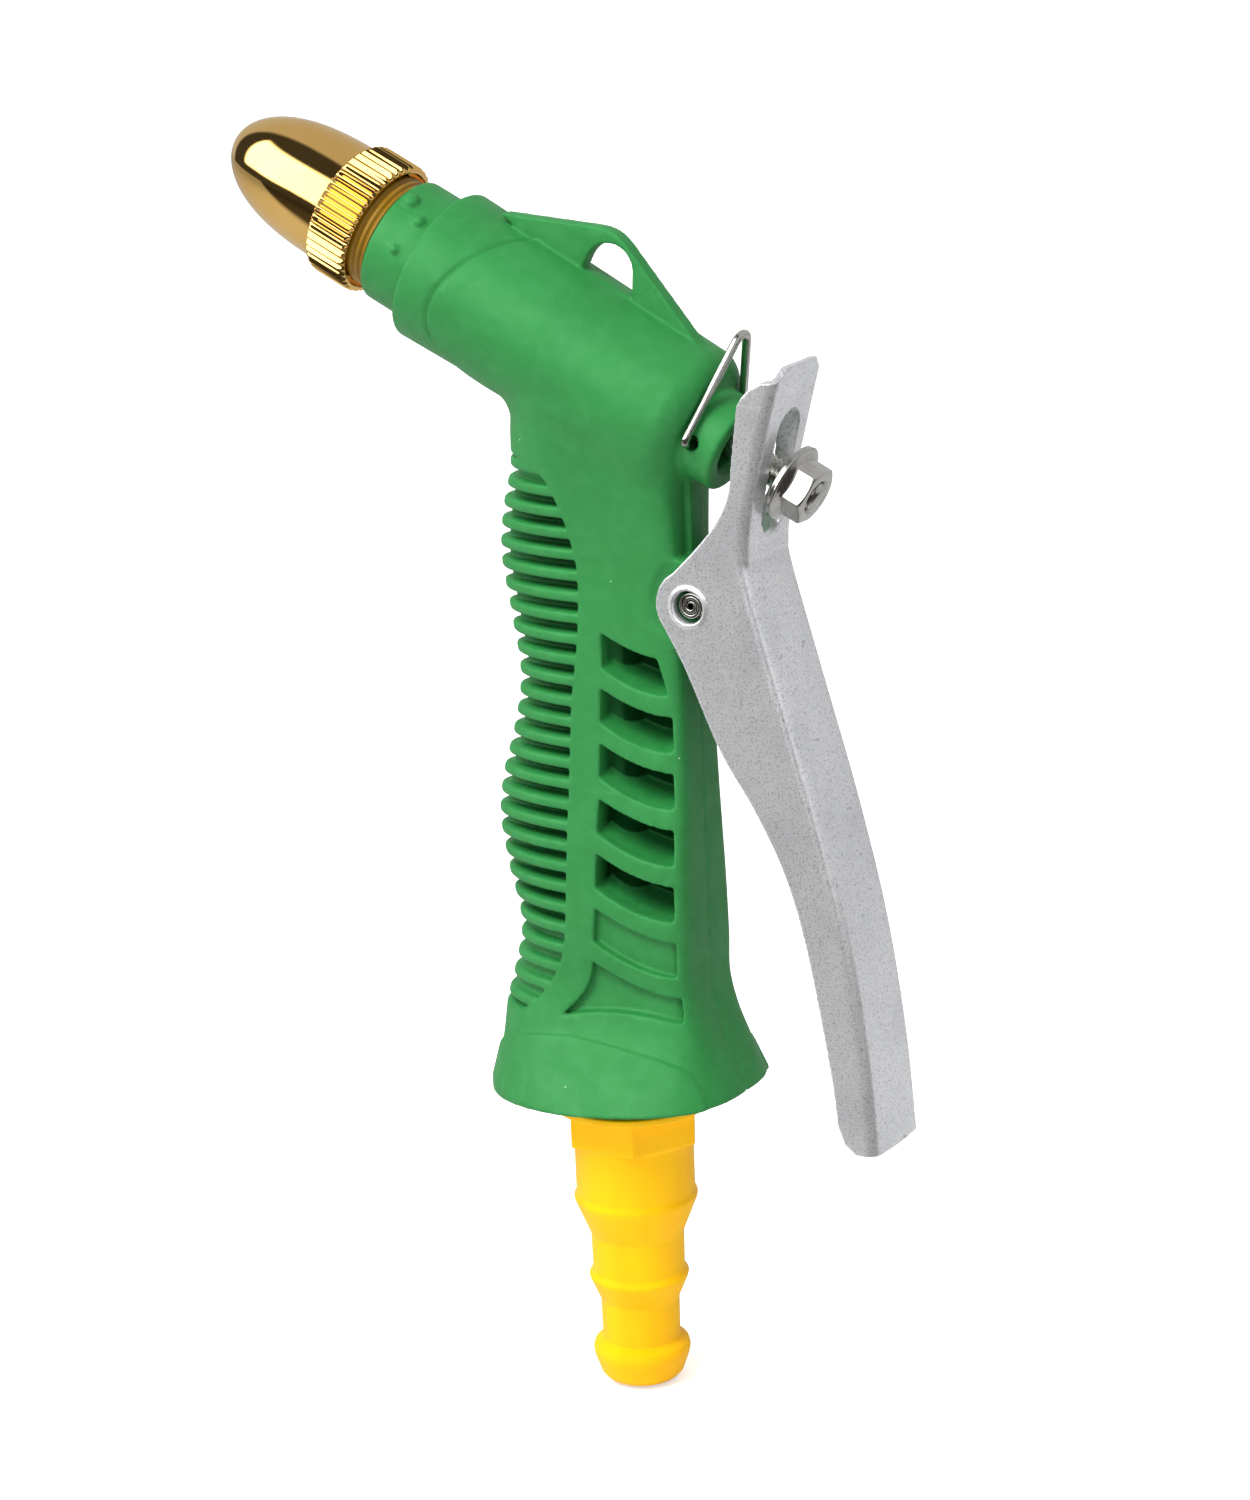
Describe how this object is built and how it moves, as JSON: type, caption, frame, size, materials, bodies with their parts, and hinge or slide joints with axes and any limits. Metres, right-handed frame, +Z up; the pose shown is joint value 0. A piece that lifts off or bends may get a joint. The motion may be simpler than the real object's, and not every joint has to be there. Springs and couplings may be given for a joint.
{
  "type": "hose spray nozzle",
  "caption": "Pistol-grip garden hose spray nozzle with a rear squeeze lever, a screw-on bullet tip, a wire lock bail and a barbed hose tail.",
  "frame": {"origin": "on the hose tail's axis at its lower end, where the hose is pushed on", "axes": "+Z up the grip, -X forward towards the spray tip, +X towards the squeeze lever, Y = 0 the plane of symmetry"},
  "size_m": [0.1093, 0.0318, 0.1937],
  "materials": {
    "green_plastic": "satin moulded green plastic",
    "yellow_plastic": "moulded yellow plastic",
    "gold_plate": "mirror gold plating",
    "amber_plastic": "semi-gloss amber",
    "zinc_steel": "zinc-plated pressed sheet with fine scratches",
    "bright_steel": "bright nickel-plated steel",
    "brass": "turned brass",
    "black_rubber": "matt rubber",
    "white_plastic": "natural white plastic"
  },
  "bodies": {
    "housing": {"body": "green_plastic", "nozzle_spigot": "amber_plastic", "spigot_washer": "black_rubber", "spray_core": "brass", "gland_bush": "white_plastic", "stem_oring": "black_rubber", "gland_washer": "bright_steel", "return_spring": "bright_steel", "pivot_pin": "bright_steel", "hose_tail": "yellow_plastic", "tail_washer": "black_rubber"},
    "lever": {"lever": "zinc_steel"},
    "rod": {"valve_stem": "bright_steel", "valve_plug": "brass", "valve_seal": "black_rubber", "spring_collar": "bright_steel", "retaining_clip": "bright_steel", "flange_nut": "bright_steel"},
    "bail": {"lock_bail": "bright_steel"},
    "tip_carrier": {"nozzle_oring": "black_rubber"},
    "tip": {"nozzle_head": "gold_plate"}
  },
  "joints": [
    {"name": "lever_pivot", "type": "hinge", "parent": "housing", "child": "lever", "pos_m": [0.0171, 0, 0.1263], "axis": [0, 1, 0], "range_deg": [0, 12], "stiffness_Nm_per_rad": 0.66, "springref_deg": -10.31},
    {"name": "rod_slide", "type": "slide", "parent": "housing", "child": "rod", "axis": [0.8988, 0, -0.4384], "range_m": [0, 0.0047], "deforming": ["return_spring"]},
    {"name": "bail_pivot", "type": "hinge", "parent": "housing", "child": "bail", "pos_m": [0.01799, 0, 0.15052], "axis": [0, 1, 0], "range_deg": [0, 25]},
    {"name": "tip_advance", "type": "slide", "parent": "housing", "child": "tip_carrier", "axis": [-0.8988, 0, 0.4384], "range_m": [-0.0015, 0.00225]},
    {"name": "tip_turn", "type": "hinge", "parent": "tip_carrier", "child": "tip", "pos_m": [0.001, 0, 0.1588], "axis": [-0.8988, 0, 0.4384], "range_deg": [-361, 541]}
  ],
  "couplings": [
    {"joint": "rod_slide", "follows": "lever_pivot", "m_per_rad": 0.02215},
    {"joint": "tip_turn", "follows": "tip_advance", "rad_per_m": 4188.8}
  ]
}
